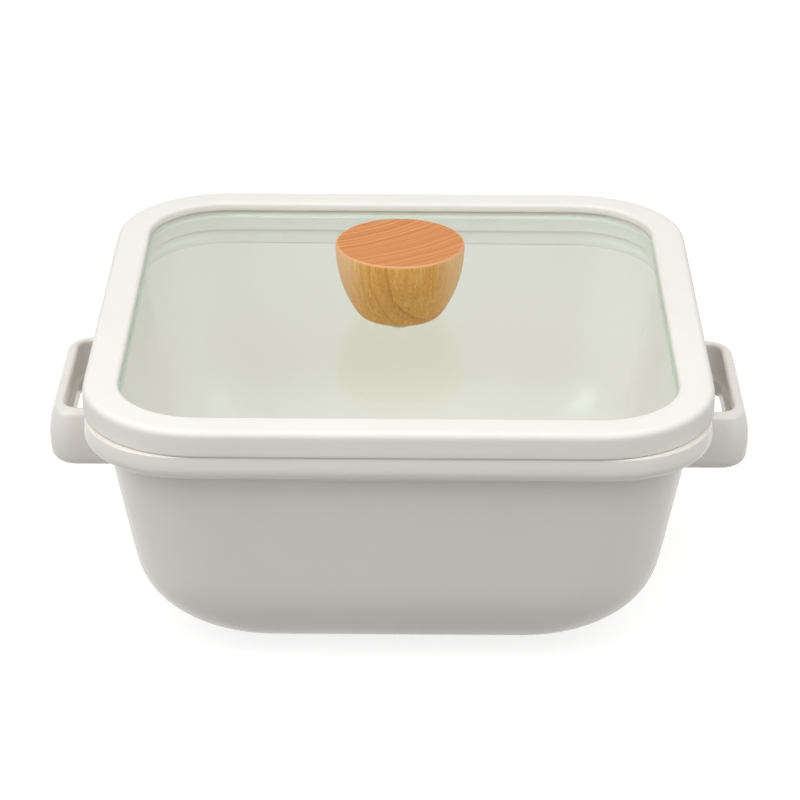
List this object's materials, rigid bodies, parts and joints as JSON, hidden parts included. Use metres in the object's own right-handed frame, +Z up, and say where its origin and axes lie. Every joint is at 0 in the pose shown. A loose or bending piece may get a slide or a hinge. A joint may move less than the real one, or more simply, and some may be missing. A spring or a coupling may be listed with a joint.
{
  "type": "square cooking pot",
  "caption": "Square white enamelled pot with rounded corners, tray-shaped side handles and a lift-off flat glass lid in a silicone ring with a turned wooden knob.",
  "frame": {"origin": "middle of the flat base, on the surface the pot stands on", "axes": "+X from the left handle to the right handle, +Y from the front to the back, +Z up"},
  "size_m": [0.2324, 0.2, 0.1157],
  "materials": {
    "enamel": "glossy white enamel on steel",
    "ring_silicone": "matt white silicone",
    "lid_glass": "clear tempered glass with a pale green tint",
    "knob_wood": "oiled turned beech",
    "washer_silicone": "matt white silicone",
    "insert_brass": "machined",
    "screw_steel": "bright stainless steel"
  },
  "bodies": {
    "pot": {"pot_body": "enamel", "left_handle": "enamel", "right_handle": "enamel"},
    "lid": {"lid_glass": "lid_glass", "lid_ring": "ring_silicone", "lid_knob": "knob_wood", "knob_insert": "insert_brass", "knob_upper_washer": "washer_silicone", "knob_lower_washer": "washer_silicone", "knob_screw_washer": "screw_steel", "knob_screw": "screw_steel"}
  },
  "joints": [
    {"name": "lid_lift", "type": "slide", "parent": "pot", "child": "lid", "axis": [0, 0, 1], "range_m": [0, 0.15]}
  ]
}
